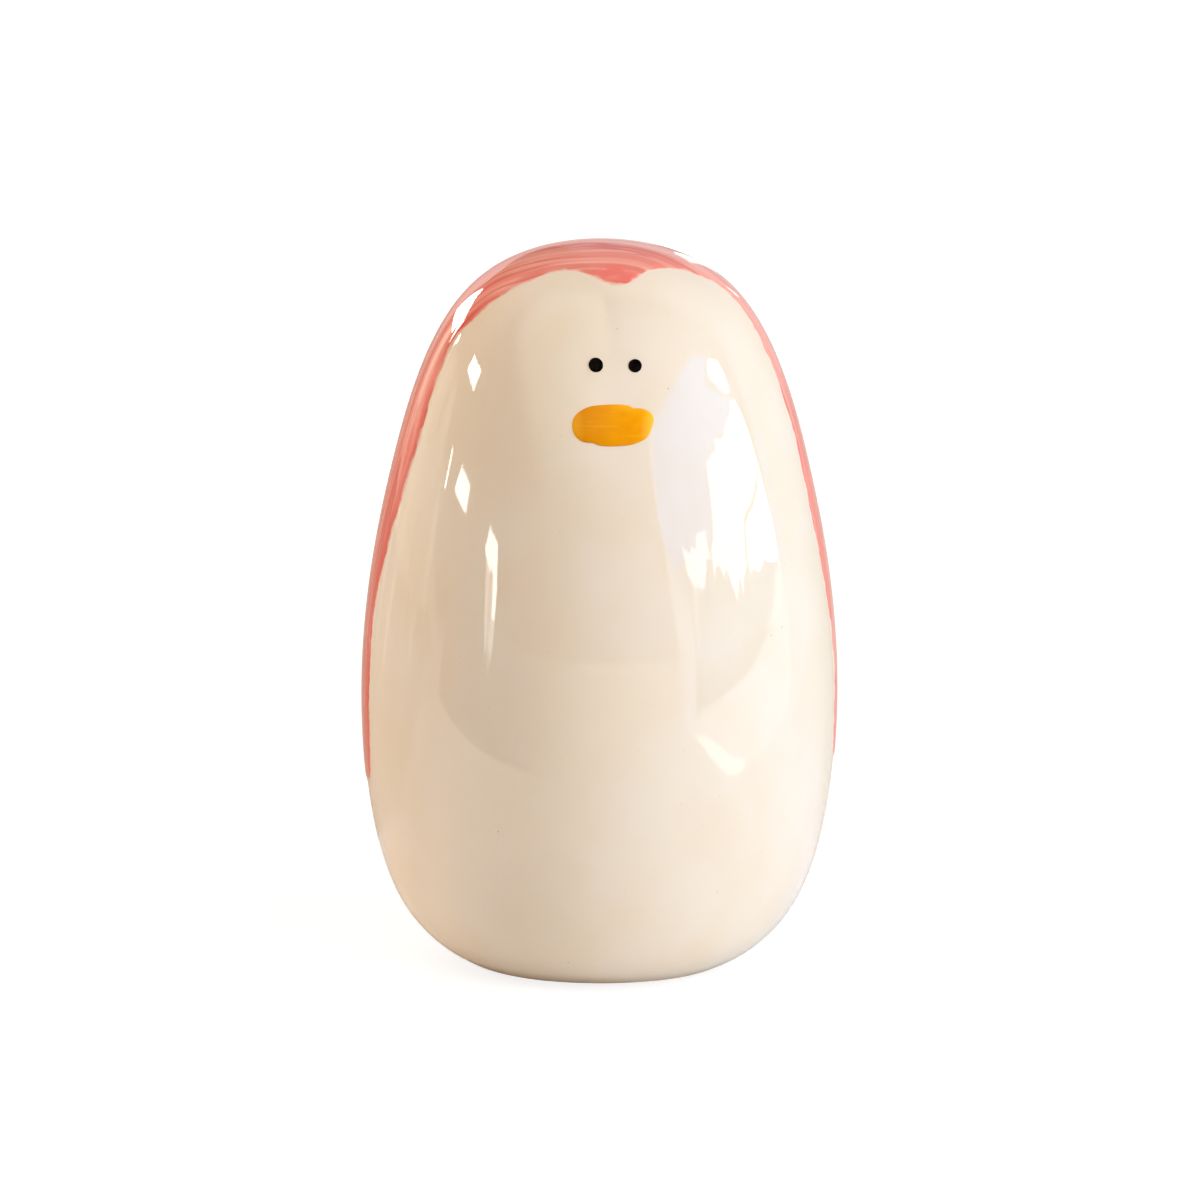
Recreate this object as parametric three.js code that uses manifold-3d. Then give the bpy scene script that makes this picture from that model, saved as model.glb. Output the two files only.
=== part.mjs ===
// A penguin charm: a hollow slip-cast ceramic egg of a bird that stands on a bare foot ring. A cream glaze coats the
// casting down to just above the table. A brushed mantle covers the crown, the sides and the back, and a beak and two
// eyes are dabbed on the front. Millimetres, +Z up. The face looks along -Y, and the origin is on the table under the
// middle of the foot.

import * as THREE from 'three';
import { NURBSCurve } from 'three/addons/curves/NURBSCurve.js';
import { mergeVertices } from 'three/addons/utils/BufferGeometryUtils.js';
import Module from 'manifold-3d';

// Outside of the casting, as the handles of its smooth profile from the crown down to the foot
const CASTING_HEIGHT = 79.4;
const CROWN_RADIUS = 3.9;
const SHOULDER_RADIUS = 15.8;
const SHOULDER_DROP = 1.6; // below the crown
const FLANK_RADIUS = 22.9;
const FLANK_HEIGHT = 55.3;
const BELLY_RADIUS = 26.9;
const BELLY_HEIGHT = 31.7;
const HAUNCH_RADIUS = 23.6;
const HAUNCH_HEIGHT = 3.4;
const TOE_SPREAD = 2.3; // outside the foot ring
const TOE_LIFT = 0.1;

// Inside and underside of the casting
const WALL = 3.6;
const FOOT_RADIUS = 11;
const FOOT_RING_WIDTH = 2.2;
const RECESS_DEPTH = 1.2;
const VENT_RADIUS = 3.5;

// Coats
const GLAZE_THICKNESS = 0.4;
const GLAZE_LINE_HEIGHT = 0.9; // bare clay below it
const MANTLE_THICKNESS = 0.2;
const BEAK_THICKNESS = 0.3;
const EYE_THICKNESS = 0.25;

// Face, with drops measured from the crown of the casting, and left and right as seen from the front
const EYE_DIAMETER = 1.5;
const EYE_DROP = 10.8;
const LEFT_EYE_SIDE = -1.9;
const RIGHT_EYE_SIDE = 2.2;
const BEAK_WIDTH = 8.7;
const BEAK_HEIGHT = 4.4;
const BEAK_DROP = 16.8;
const BEAK_SIDE = -0.3;
const BEAK_FULLNESS = 2.5; // 2 is an ellipse, and more is boxier

// Where the mantle ends over the forehead, seen from above: [to the right, forward] of the middle
const LEFT_TEMPLE = [-14.6, 7.6];
const LEFT_BROW = [-10.4, 8.7];
const LEFT_LOBE = [-4, 9.3];
const PEAK = [0.6, 12.2];
const RIGHT_LOBE = [5.3, 8.6];
const RIGHT_BROW = [9.6, 6.3];
const RIGHT_TEMPLE = [13.4, 5.4];

// Where it ends down the sides, as degrees round from straight ahead
const LEFT_CHEEK_ANGLE = -66.8;
const LEFT_FLANK_ANGLE = -72.5;
const LEFT_HIP_ANGLE = -77;
const RIGHT_CHEEK_ANGLE = 69.2;
const RIGHT_FLANK_ANGLE = 69.8;
const RIGHT_HIP_ANGLE = 72.8;
const CHEEK_DROP = 9.6;
const LEFT_HEM_HEIGHT = 20.5;
const RIGHT_HEM_HEIGHT = 23;
const HEM_CORNER = 5; // up and round from the hem to the upright edge

// Fineness of the faceted solids
const SEGMENTS = 48;
const PROFILE_STEPS = 20;
const FOOT_STEPS = 4;
const EDGE_STEPS = 84;
const FAN_RINGS = 7;
const DAB_STEPS = 36;

const FACE_DEPTH = 2 * BELLY_RADIUS; // how far the outline of a dab is carried forward to cut the coat
const MIDDLE = new THREE.Vector3(0, 0, CASTING_HEIGHT / 2);

const wasm = await Module();
wasm.setup();

// The casting's outside as a curve of (radius, height) from the crown to the foot
const handles = [
  [0, CASTING_HEIGHT],
  [CROWN_RADIUS, CASTING_HEIGHT],
  [SHOULDER_RADIUS, CASTING_HEIGHT - SHOULDER_DROP],
  [FLANK_RADIUS, FLANK_HEIGHT],
  [BELLY_RADIUS, BELLY_HEIGHT],
  [HAUNCH_RADIUS, HAUNCH_HEIGHT],
  [FOOT_RADIUS + TOE_SPREAD, TOE_LIFT],
  [FOOT_RADIUS, 0],
].map(([r, z]) => new THREE.Vector4(r, z, 0, 1));

function evenKnots(count, degree) {
  const spans = count - degree;
  const inner = Array.from({ length: spans + 1 }, (_, i) => i / spans);
  return [...Array(degree).fill(0), ...inner, ...Array(degree).fill(1)];
}

const DEGREE = 3;
const profile = new NURBSCurve(DEGREE, evenKnots(handles.length, DEGREE), handles);

// The share of the profile, from the crown, at which a rule of (radius, height) first stops holding
function shareWhere(holds) {
  let above = 0;
  let below = 1;
  while (below - above > 1e-6) {
    const share = (above + below) / 2;
    const point = profile.getPoint(share);
    if (holds(point.x, point.y)) above = share;
    else below = share;
  }
  return above;
}

// A point of the profile moved out square to it, or in where out is negative
function offsetPoint(share, out) {
  const point = profile.getPoint(share);
  const along = profile.getTangent(share);
  return new THREE.Vector2(Math.max(0, point.x - along.y * out), point.y + along.x * out);
}

const glazeShare = shareWhere((r, z) => z > GLAZE_LINE_HEIGHT);

// The glazed stretch of the profile, moved out by a coat
function coatLine(out) {
  return Array.from({ length: PROFILE_STEPS + 1 }, (_, i) => offsetPoint((glazeShare * i) / PROFILE_STEPS, out));
}

// A closed solid of revolution about the Z axis, from an outline that runs down its outside
function turned(outline) {
  const geometry = new THREE.LatheGeometry([...outline].reverse(), SEGMENTS);
  return geometry.rotateX(Math.PI / 2);
}

// Joins the vertices that a three.js geometry repeats, and leaves out the faces that shrank to nothing at the poles
function welded(geometry) {
  const copy = geometry.clone();
  copy.deleteAttribute('normal');
  copy.deleteAttribute('uv');
  const merged = mergeVertices(copy, 1e-4);
  const corners = merged.index.array;
  const kept = [];
  for (let i = 0; i < corners.length; i += 3) {
    const [a, b, c] = corners.slice(i, i + 3);
    if (a !== b && b !== c && c !== a) kept.push(a, b, c);
  }
  merged.setIndex(kept);
  return merged;
}

function toSolid(geometry) {
  const mesh = welded(geometry);
  const vertProperties = new Float32Array(mesh.attributes.position.array);
  const triVerts = new Uint32Array(mesh.index.array);
  return new wasm.Manifold(new wasm.Mesh({ numProp: 3, vertProperties, triVerts }));
}

function toGeometry(solid) {
  const mesh = solid.getMesh();
  const geometry = new THREE.BufferGeometry();
  geometry.setAttribute('position', new THREE.BufferAttribute(mesh.vertProperties, 3));
  geometry.setIndex(new THREE.BufferAttribute(mesh.triVerts, 1));
  geometry.computeVertexNormals();
  return geometry;
}

// The casting: outside, foot ring, recessed underside, vent, floor, and the hollow back up to the crown
function castingGeometry() {
  const foot = Array.from({ length: FOOT_STEPS }, (_, i) => {
    return offsetPoint(glazeShare + ((1 - glazeShare) * (i + 1)) / FOOT_STEPS, 0);
  });
  const floor = RECESS_DEPTH + WALL;
  const ringInside = FOOT_RADIUS - FOOT_RING_WIDTH;
  const base = [
    new THREE.Vector2(ringInside, 0),
    new THREE.Vector2(ringInside, RECESS_DEPTH),
    new THREE.Vector2(VENT_RADIUS, RECESS_DEPTH),
    new THREE.Vector2(VENT_RADIUS, floor),
  ];
  const hollow = coatLine(-WALL).filter((point) => point.y > floor + WALL / 4);
  const corner = new THREE.Vector2(hollow.at(-1).x - WALL / 4, floor);
  return turned([...coatLine(0), ...foot, ...base, corner, ...hollow.reverse()]);
}

// The glaze: its outside down to the glaze line, and the casting's own surface back up
function glazeGeometry() {
  return turned([...coatLine(GLAZE_THICKNESS), ...coatLine(0).reverse()]);
}

// Everything inside the outer face of a coat, down to the glaze line
function filled(out) {
  const line = coatLine(out);
  return toSolid(turned([...line, new THREE.Vector2(0, line.at(-1).y)]));
}

const glazed = filled(GLAZE_THICKNESS);

// A coat on the glaze, of one thickness, inside what a cutter leaves
function coat(thickness, cutter) {
  return toGeometry(filled(GLAZE_THICKNESS + thickness).subtract(glazed).intersect(cutter));
}

// A place on the glazed surface above or below the belly: over a point of the plan, or at an angle and a height
function overPlan([right, forward]) {
  const reach = Math.hypot(right, forward);
  const share = shareWhere((r) => r < reach);
  return new THREE.Vector3(right, -forward, profile.getPoint(share).y);
}

function atHeight(degrees, height) {
  const share = shareWhere((r, z) => z > height);
  const radius = profile.getPoint(share).x;
  const angle = THREE.MathUtils.degToRad(degrees);
  return new THREE.Vector3(radius * Math.sin(angle), -radius * Math.cos(angle), height);
}

// The closed edge of the mantle: over the forehead, down the right side, round the back and up the left side
function mantleEdge() {
  const brow = [LEFT_TEMPLE, LEFT_BROW, LEFT_LOBE, PEAK, RIGHT_LOBE, RIGHT_BROW, RIGHT_TEMPLE].map(overPlan);
  const cheek = CASTING_HEIGHT - CHEEK_DROP;
  const side = (cheekAngle, flankAngle, hipAngle, hem) => {
    const hip = hem + HEM_CORNER;
    const turn = Math.sign(hipAngle);
    return [
      atHeight(cheekAngle, cheek),
      atHeight(flankAngle, (cheek + hip) / 2),
      atHeight(hipAngle, hip),
      atHeight(hipAngle + turn * HEM_CORNER / 2, hem + HEM_CORNER / 5),
      atHeight(hipAngle + turn * HEM_CORNER * 2, hem),
    ];
  };
  const right = side(RIGHT_CHEEK_ANGLE, RIGHT_FLANK_ANGLE, RIGHT_HIP_ANGLE, RIGHT_HEM_HEIGHT);
  const left = side(LEFT_CHEEK_ANGLE, LEFT_FLANK_ANGLE, LEFT_HIP_ANGLE, LEFT_HEM_HEIGHT);
  const back = [110, 145, 180, 215, 250].map((degrees) => atHeight(degrees, LEFT_HEM_HEIGHT));
  return new THREE.CatmullRomCurve3([...brow, ...right, ...back, ...left.reverse()], true, 'centripetal');
}

// A cone from the middle of the bird through the mantle's edge, closed by a dome well outside the bird
function mantleCutter() {
  const edge = mantleEdge();
  const towards = Array.from({ length: EDGE_STEPS }, (_, i) => {
    return edge.getPoint(i / EDGE_STEPS).sub(MIDDLE).normalize();
  });
  const back = new THREE.Vector3(0, Math.cos(Math.PI / 6), Math.sin(Math.PI / 6));
  const reach = 2 * CASTING_HEIGHT;
  const points = [MIDDLE, MIDDLE.clone().addScaledVector(back, reach)];
  for (let ring = 1; ring <= FAN_RINGS; ring++) {
    for (const direction of towards) {
      const axis = new THREE.Vector3().crossVectors(back, direction).normalize();
      const angle = (back.angleTo(direction) * ring) / FAN_RINGS;
      points.push(MIDDLE.clone().addScaledVector(back.clone().applyAxisAngle(axis, angle), reach));
    }
  }
  const at = (ring, i) => 2 + ring * EDGE_STEPS + (i % EDGE_STEPS);
  const faces = [];
  for (let i = 0; i < EDGE_STEPS; i++) {
    faces.push(1, at(0, i), at(0, i + 1));
    for (let ring = 0; ring < FAN_RINGS - 1; ring++) {
      faces.push(at(ring, i), at(ring + 1, i + 1), at(ring, i + 1));
      faces.push(at(ring, i), at(ring + 1, i), at(ring + 1, i + 1));
    }
    faces.push(0, at(FAN_RINGS - 1, i + 1), at(FAN_RINGS - 1, i));
  }
  const geometry = new THREE.BufferGeometry().setFromPoints(points);
  geometry.setIndex(faces);
  return toSolid(geometry);
}

// The outline of a dab of paint, as seen from the front, carried forward through the coat
function dabCutter(side, height, width, tall, fullness) {
  const bend = (value) => Math.sign(value) * Math.abs(value) ** (2 / fullness);
  const outline = Array.from({ length: DAB_STEPS }, (_, i) => {
    const turn = (2 * Math.PI * i) / DAB_STEPS;
    const across = (width / 2) * bend(Math.cos(turn));
    const up = (tall / 2) * bend(Math.sin(turn));
    return new THREE.Vector2(side + across, height + up);
  });
  const prism = new THREE.ExtrudeGeometry(new THREE.Shape(outline), { depth: FACE_DEPTH, bevelEnabled: false });
  return toSolid(prism.rotateX(Math.PI / 2));
}

function eye(side) {
  return coat(EYE_THICKNESS, dabCutter(side, CASTING_HEIGHT - EYE_DROP, EYE_DIAMETER, EYE_DIAMETER, 2));
}

function beak() {
  const height = CASTING_HEIGHT - BEAK_DROP;
  return coat(BEAK_THICKNESS, dabCutter(BEAK_SIDE, height, BEAK_WIDTH, BEAK_HEIGHT, BEAK_FULLNESS));
}

const group = new THREE.Group();

function add(name, geometry, color, roughness) {
  const material = new THREE.MeshStandardMaterial({ color, roughness, metalness: 0 });
  const mesh = new THREE.Mesh(geometry, material);
  mesh.name = name;
  group.add(mesh);
}

add('casting', castingGeometry(), 0xc9a27e, 0.85);
add('glaze', glazeGeometry(), 0xece0cb, 0.08);
add('mantle', coat(MANTLE_THICKNESS, mantleCutter()), 0xe98874, 0.12);
add('beak', beak(), 0xee9a08, 0.12);
add('left_eye', eye(LEFT_EYE_SIDE), 0x0e0504, 0.12);
add('right_eye', eye(RIGHT_EYE_SIDE), 0x0e0504, 0.12);

export default group;
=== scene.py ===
# %% [markdown]
# # A brushed and glazed penguin charm
# The real object is one slip-cast ceramic egg, 80 mm tall. A maker dips it in a cream glaze, brushes a
# pink mantle over its crown, sides and back, dabs on a beak and two eyes, and fires it to a gloss. The
# measured model holds its sizes. This script builds the finish around that model: smooth coats with soft
# edges, brush marks, specks and reflections.

# %% Load the measured model
import math

import bmesh
import bpy
import numpy as np
from mathutils import Matrix, Vector


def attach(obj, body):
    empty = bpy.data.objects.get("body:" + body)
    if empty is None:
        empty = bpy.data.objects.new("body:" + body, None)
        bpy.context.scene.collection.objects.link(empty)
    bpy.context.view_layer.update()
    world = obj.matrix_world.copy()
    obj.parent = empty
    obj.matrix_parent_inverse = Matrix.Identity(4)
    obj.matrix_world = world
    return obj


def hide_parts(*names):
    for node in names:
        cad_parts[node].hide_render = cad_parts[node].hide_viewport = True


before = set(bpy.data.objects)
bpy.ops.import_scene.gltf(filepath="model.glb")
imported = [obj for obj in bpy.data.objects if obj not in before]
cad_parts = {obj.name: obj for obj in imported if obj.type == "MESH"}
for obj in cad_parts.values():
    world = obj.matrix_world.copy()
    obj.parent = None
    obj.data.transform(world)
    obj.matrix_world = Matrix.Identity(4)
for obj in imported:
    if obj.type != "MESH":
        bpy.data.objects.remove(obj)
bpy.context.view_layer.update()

# %% [markdown]
# ## One profile for every coat
# A slip casting is a solid of revolution, so one smooth line from the crown to the foot describes it. The
# line is a NURBS curve with the same handles as the measured model. Blender turns the curve into points,
# and each coat is that line moved out square to itself. Lengths are in millimetres here, and a piece is
# scaled to metres when it is finished.

# %% Draw the profile
MM = 0.001
CASTING_HEIGHT = 79.4
FOOT_RADIUS = 11
HANDLES = [(0, CASTING_HEIGHT), (3.9, CASTING_HEIGHT), (15.8, CASTING_HEIGHT - 1.6), (22.9, 55.3),
           (26.9, 31.7), (23.6, 3.4), (FOOT_RADIUS + 2.3, 0.1), (FOOT_RADIUS, 0)]
PROFILE_DETAIL = 34  # points between two handles


def new_spline(kind, detail):
    """A curve with one empty spline in it."""
    curve = bpy.data.curves.new("line", "CURVE")
    curve.dimensions = "3D"
    spline = curve.splines.new(kind)
    spline.resolution_u = detail
    return curve, spline


def points_along(curve):
    """Turns a curve into points and clears it away."""
    holder = bpy.data.objects.new("line", curve)
    points = np.array([v.co[:] for v in holder.to_mesh().vertices])
    bpy.data.objects.remove(holder)
    bpy.data.curves.remove(curve)
    return points


def nurbs_points(handles, detail):
    """Points (radius, height) along a smooth curve that starts and ends on its first and last handle."""
    curve, spline = new_spline("NURBS", detail)
    spline.points.add(len(handles) - 1)
    for point, (radius, height) in zip(spline.points, handles):
        point.co = (radius, 0, height, 1)
    spline.order_u = 4
    spline.use_endpoint_u = True
    return points_along(curve)[:, [0, 2]]


def normals_of(points):
    """Unit normals of a line that runs down the outside, pointing out."""
    along = np.gradient(points, axis=0)
    out = np.stack([-along[:, 1], along[:, 0]], axis=1)
    out[0] = (0, 1)
    return out / np.linalg.norm(out, axis=1)[:, None]


profile = nurbs_points(HANDLES, PROFILE_DETAIL)
profile_out = normals_of(profile)
print("profile:", len(profile), "points, widest radius", round(profile[:, 0].max(), 2), "mm")


def coat_line(thickness, lowest):
    """The profile moved out by a coat, down to a height on the casting."""
    kept = profile[:, 1] >= lowest
    return (profile + profile_out * thickness)[kept]


# %% [markdown]
# ## From a line to a piece
# Spinning a line about the Z axis makes a surface of revolution. Its points on the axis come out once per
# step, so they are merged, and the faces are then turned outwards. A finished piece is scaled to metres,
# shaded smooth, given its material and told which body it moves with, and the measured node that it
# stands for is hidden.

# %% Helpers that spin and finish a piece
ROUND = 288  # steps round a glazed piece
MERGE_DISTANCE = 1e-4


def draw_line(bm, points):
    """Draws a line of (radius, height) points and returns its corners."""
    corners = [bm.verts.new((radius, 0, height)) for radius, height in points]
    for pair in zip(corners, corners[1:]):
        bm.edges.new(pair)
    return corners


def spin(bm, steps):
    """Sweeps the line in the mesh about the Z axis, with the faces turned outwards."""
    bmesh.ops.spin(bm, geom=bm.verts[:] + bm.edges[:], cent=(0, 0, 0), axis=(0, 0, 1), dvec=(0, 0, 0),
                   angle=2 * math.pi, steps=steps, use_merge=True, use_duplicate=False)
    bmesh.ops.remove_doubles(bm, verts=bm.verts, dist=MERGE_DISTANCE)
    bmesh.ops.recalc_face_normals(bm, faces=bm.faces)


def to_mesh(bm, name):
    """Turns finished geometry into a mesh of that name."""
    mesh = bpy.data.meshes.new(name)
    bm.to_mesh(mesh)
    bm.free()
    return mesh


def coordinates(mesh):
    flat = np.empty(len(mesh.vertices) * 3)
    mesh.vertices.foreach_get("co", flat)
    return flat.reshape(-1, 3)


def set_coordinates(mesh, points):
    mesh.vertices.foreach_set("co", points.ravel())
    mesh.update()


def add_measure(mesh, name, values):
    """Stores one number per point on the mesh, for its material to read."""
    layer = mesh.attributes.new(name, "FLOAT", "POINT")
    layer.data.foreach_set("value", values.astype(np.float32))


def put(name, data, place=Matrix()):
    """Puts an object with that mesh, lamp or camera into the scene."""
    thing = bpy.data.objects.new(name, data)
    thing.matrix_world = place
    bpy.context.scene.collection.objects.link(thing)
    return thing


def finish_piece(name, mesh, material, node):
    """Scales a mesh to metres and makes it the piece that stands for a measured node."""
    mesh.transform(Matrix.Scale(MM, 4))
    mesh.shade_smooth()
    mesh.materials.append(material)
    piece = put(name, mesh)
    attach(piece, "root")
    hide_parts(node)
    sizes = [round(side * 1000, 2) for side in piece.dimensions]
    print(f"{name}: {len(mesh.polygons)} faces, {sizes} mm")


# %% [markdown]
# ## The unevenness of a hand-finished surface
# A cast and dipped figure isn't a perfect egg: the sponge and the running glaze leave soft swells a few
# hundredths of a millimetre deep. They are too low to see as shape, but a gloss glaze shows them as gently
# bent reflections. Every coat has the same swells, worked out from where a point is, so the coats stay on
# each other.

# %% Places on the profile, and the soft swells
SWELL_HEIGHT = 0.022
SWELL_LENGTH = 22
RIPPLE_HEIGHT = 0.004
RIPPLE_LENGTH = 8
WAVE_COUNT = 14
GOLDEN_TURN = math.pi * (3 - math.sqrt(5))
FOOT_FADE = 4  # the swells fade out below this height
AT_ONCE = 4000  # points compared in one go
TINY = 1e-6


def waves(points, length):
    """Smooth rises and dips about one length apart, from -1 to 1: plane waves that cross."""
    total = np.zeros(len(points))
    for step in range(WAVE_COUNT):
        turn, up = GOLDEN_TURN * step, 1 - (2 * step + 1) / WAVE_COUNT
        flat = math.sqrt(1 - up * up)
        way = np.array((flat * math.cos(turn), flat * math.sin(turn), up))
        shorter = 0.75 + 0.5 * (step * 5 % WAVE_COUNT) / WAVE_COUNT
        total += np.sin(points @ way * (2 * math.pi / length / shorter) + 1.7 * step)
    return np.clip(total / math.sqrt(2 * WAVE_COUNT), -1, 1)


def ways_out(points):
    """The way out of the surface at each point."""
    radius = np.hypot(points[:, 0], points[:, 1])
    flat = np.stack([radius, points[:, 2]], axis=1)
    nearest = np.concatenate([
        np.argmin(((part[:, None, :] - profile[None]) ** 2).sum(-1), axis=1)
        for part in np.array_split(flat, max(1, len(flat) // AT_ONCE))
    ])
    out = profile_out[nearest]
    around = points[:, :2] / np.maximum(radius, TINY)[:, None] * out[:, :1]
    return np.column_stack([around, out[:, 1]])


def swell(points):
    """The height of the soft swells at each point, always at or below the measured surface."""
    slow = SWELL_HEIGHT * (waves(points, SWELL_LENGTH) - 1)
    return slow + RIPPLE_HEIGHT * (waves(points, RIPPLE_LENGTH) - 1)


def add_swells(mesh):
    points = coordinates(mesh)
    foot_fade = np.clip(points[:, 2] / FOOT_FADE, 0, 1)
    set_coordinates(mesh, points + ways_out(points) * (foot_fade * swell(points))[:, None])


# %% [markdown]
# ## Materials from nodes
# Glazed paint has two layers: colour that scatters light, and clear glass over it. The Principled shader
# has both, as its base and its coat. A few small helpers keep the node wiring readable: one adds a node
# and links its inputs, and the others stand for steps that come again and again, such as noise, a ramp
# between two levels and a mix.

# %% Helpers that wire nodes
COAT_ROUGHNESS = 0.03
COAT_IOR = 1.5


class Wiring:
    """The nodes of a new material, or of the world, with short names for those that are used here."""

    def __init__(self, name, kind="materials"):
        self.material = getattr(bpy.data, kind).new(name)
        self.material.use_nodes = True
        self.tree = self.material.node_tree
        self.place = self.add("ShaderNodeTexCoord").outputs["Object"]

    def add(self, kind, inputs=(), **settings):
        node = self.tree.nodes.new(kind)
        for key, value in settings.items():
            setattr(node, key, value)
        self.fill(node, dict(inputs))
        return node

    def fill(self, node, inputs):
        """Sets a node's inputs: another node's output is linked, and nothing is left as it is."""
        for key, value in inputs.items():
            if isinstance(value, bpy.types.NodeSocket):
                self.tree.links.new(value, node.inputs[key])
            elif value is not None:
                node.inputs[key].default_value = value

    def stretch(self, *lengths):
        """Object coordinates divided by one length in millimetres, or by one for each direction."""
        scale = [1 / MM / length for length in (lengths if len(lengths) == 3 else lengths * 3)]
        return self.add("ShaderNodeMapping", {"Vector": self.place, "Scale": scale}).outputs[0]

    def noise(self, place, detail=2.0, roughness=0.5):
        inputs = {"Vector": place, "Scale": 1.0, "Detail": detail, "Roughness": roughness}
        return self.add("ShaderNodeTexNoise", inputs).outputs["Fac"]

    def level(self, value, low, high, to_low=0.0, to_high=1.0):
        """0 below the low value, 1 above the high one and smooth between, or two other results."""
        inputs = {"Value": value, "From Min": low, "From Max": high, "To Min": to_low, "To Max": to_high}
        return self.add("ShaderNodeMapRange", inputs, interpolation_type="SMOOTHSTEP").outputs["Result"]

    def near(self, value, middle, half, core=0.0, most=1.0):
        """The most where a value is close to a middle one, and 0 from half a width away."""
        return self.level(self.math("ABSOLUTE", self.minus(value, middle)), half, core, 0.0, most)

    def math(self, kind, a, b=0.0):
        return self.add("ShaderNodeMath", {0: a, 1: b}, operation=kind).outputs[0]

    def plus(self, a, b):
        return self.math("ADD", a, b)

    def minus(self, a, b):
        return self.math("SUBTRACT", a, b)

    def times(self, *factors):
        product = factors[0]
        for factor in factors[1:]:
            product = self.math("MULTIPLY", product, factor)
        return product

    def mix(self, share, a, b):
        """A colour that goes from a to b."""
        return self.blend(share, a, b, "RGBA")

    def over(self, colour, laid, *shares):
        """A colour with another laid over it, as far as all the shares let it."""
        return self.mix(self.times(*shares), colour, laid)

    def show(self, surface):
        """Gives the material another surface than the one that it starts with."""
        output = next(node for node in self.tree.nodes if node.type.startswith("OUTPUT"))
        self.tree.links.new(surface, output.inputs["Surface"])
        return self.material

    def blend(self, share, a, b, kind="FLOAT"):
        """A number that goes from a to b."""
        inputs = {"Factor": share, "A": a, "B": b}
        return self.add("ShaderNodeMix", inputs, data_type=kind).outputs["Result"]

    def parts(self, place=None):
        """The x, y and z of a place: of the object's own coordinates where none is given."""
        outputs = self.add("ShaderNodeSeparateXYZ", {0: place or self.place}).outputs
        return outputs["X"], outputs["Y"], outputs["Z"]

    def turn(self):
        """The angle of a place from straight ahead of the face, in radians, greater to the right."""
        x, y, _ = self.parts()
        return self.math("ARCTAN2", x, self.times(y, -1.0))

    def light(self, colour, strength=1.0):
        return self.add("ShaderNodeEmission", {"Color": colour, "Strength": strength}).outputs[0]

    def either(self, share, a, b):
        """A surface that goes from a to b."""
        return self.add("ShaderNodeMixShader", {0: share, 1: a, 2: b}).outputs[0]

    def measure(self, name):
        return self.add("ShaderNodeAttribute", attribute_name=name).outputs["Fac"]

    def joined(self, x, y):
        return self.add("ShaderNodeCombineXYZ", {0: x, 1: y}).outputs[0]

    def length(self, place):
        return self.add("ShaderNodeVectorMath", {0: place}, operation="LENGTH").outputs["Value"]

    def bump(self, height, distance, strength):
        inputs = {"Height": height, "Strength": strength, "Distance": distance * MM}
        return self.add("ShaderNodeBump", inputs).outputs["Normal"]

    def finish(self, colour, roughness, bump=None, coat_bump=None, coat=1.0, specular=0.0):
        """Sets the paint and the clear coat over it, each with a bump of its own."""
        inputs = {"Base Color": colour, "Roughness": roughness, "Normal": bump, "Coat Normal": coat_bump,
                  "Specular IOR Level": specular, "Coat Weight": coat, "Coat Roughness": COAT_ROUGHNESS,
                  "Coat IOR": COAT_IOR}
        self.fill(self.tree.nodes["Principled BSDF"], inputs)
        return self.material


def rgb(red, green, blue):
    return (red, green, blue, 1.0)


WHITE = rgb(1, 1, 1)


# %% [markdown]
# ## The casting
# Under the glaze is fired clay, poured hollow in a plaster mould. Only its foot ring, the recess inside
# the ring and the vent show, bare and matt, so that the piece doesn't stick to the kiln shelf. One closed
# outline runs down the outside, over the foot, round the vent and back up the hollow. Its sharp corners
# are bevelled before the spin, because a cleaned casting has no sharp edge.

# %% Model the casting
WALL = 3.6
FOOT_RING_WIDTH = 2.2
RECESS_DEPTH = 1.2
VENT_RADIUS = 3.5
GLAZE_LINE_HEIGHT = 0.9
RECESS_SLOPE = 0.3  # the recess narrows by this, so that the mould lets go
CLAY_EDGE = 0.45
CASTING_ROUND = 144


def casting_mesh():
    floor = RECESS_DEPTH + WALL
    hollow = profile - profile_out * WALL
    hollow[:, 0] = np.maximum(hollow[:, 0], 0)
    hollow = hollow[hollow[:, 1] > floor + WALL / 2][::-4]
    hollow[-1] = (0, CASTING_HEIGHT - WALL)
    ring_inside = FOOT_RADIUS - FOOT_RING_WIDTH
    base = [(ring_inside, 0), (ring_inside - RECESS_SLOPE, RECESS_DEPTH), (VENT_RADIUS, RECESS_DEPTH),
            (VENT_RADIUS, floor), (hollow[0][0] - WALL / 2, floor)]
    outside = np.r_[profile[:-1:2], profile[-1:]]
    bm = bmesh.new()
    corners = draw_line(bm, [*outside, *base, *hollow])
    sharp = corners[len(outside) - 1:len(outside) + len(base)]
    bmesh.ops.bevel(bm, geom=sharp, offset=CLAY_EDGE, offset_type="OFFSET", segments=4, profile=0.5,
                    affect="VERTICES", material=-1)
    spin(bm, CASTING_ROUND)
    return to_mesh(bm, "bare_clay_casting")


# %% [markdown]
# ## Bare fired clay
# Fired clay without glaze is a warm tan with a fine grain. Kiln heat toasts it darker next to the glaze,
# and the sponge leaves faint rings. Two sizes of noise make the grain and the toasting, and a low bump
# keeps it matt and dry.

# %% Material of the bare clay
CLAY_DARK = rgb(0.50, 0.31, 0.19)
CLAY_TAN = rgb(0.62, 0.42, 0.27)
CLAY_PALE = rgb(0.70, 0.52, 0.37)


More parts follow.
